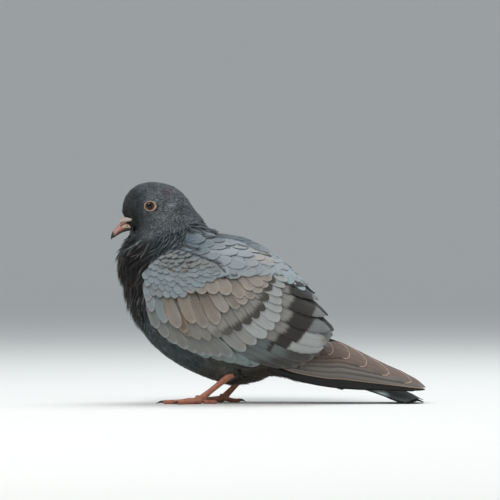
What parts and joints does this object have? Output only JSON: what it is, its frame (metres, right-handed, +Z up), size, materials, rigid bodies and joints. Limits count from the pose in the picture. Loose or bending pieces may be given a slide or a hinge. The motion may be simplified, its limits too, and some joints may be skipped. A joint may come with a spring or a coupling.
{
  "type": "standing pigeon model",
  "caption": "Life-size still model of a feral pigeon, fluffed, wings folded, head drawn in, standing on both feet with its tail tip resting on the floor.",
  "frame": {"origin": "on the floor under the middle of the bird's length and width", "axes": "+Z up; the bird faces -X, so its tail points to +X; its left side is towards -Y"},
  "size_m": [0.2397, 0.1006, 0.1679],
  "materials": {
    "body_plumage": "soft slate-grey feathers, browner under the tail",
    "neck_plumage": "dark brown-black hackles with a faint sheen",
    "head_plumage": "fine slate-grey feathers",
    "wing_coverts": "pale grey feathers, warm brown in places",
    "wing_secondaries": "pale grey flight feathers with charcoal bars",
    "wing_primaries": "brown-grey flight feathers with buff edges",
    "tail_feathers": "near-black slate flight feathers",
    "bill_horn": "pinkish horn, satin, dark at the tip",
    "bill_dark_horn": "dark horn, satin",
    "cere_skin": "powdery pale pink skin",
    "eye": "amber-brown iris round a black pupil, wet gloss",
    "leg_scales": "orange-pink scaly skin",
    "claw": "dark horn, satin"
  },
  "bodies": {
    "root": {"trunk": "body_plumage", "neck": "neck_plumage", "head": "head_plumage", "thigh_left": "body_plumage", "thigh_right": "body_plumage", "wing_left_coverts": "wing_coverts", "wing_right_coverts": "wing_coverts", "wing_left_secondaries": "wing_secondaries", "wing_right_secondaries": "wing_secondaries", "wing_left_primaries": "wing_primaries", "wing_right_primaries": "wing_primaries", "tail": "tail_feathers", "bill_upper": "bill_horn", "bill_lower": "bill_dark_horn", "cere": "cere_skin", "eye_left": "eye", "eye_right": "eye", "shank_left": "leg_scales", "shank_right": "leg_scales", "foot_left": "leg_scales", "foot_right": "leg_scales", "claw_left_inner": "claw", "claw_left_middle": "claw", "claw_left_outer": "claw", "claw_left_hind": "claw", "claw_right_inner": "claw", "claw_right_middle": "claw", "claw_right_outer": "claw", "claw_right_hind": "claw"}
  },
  "joints": []
}
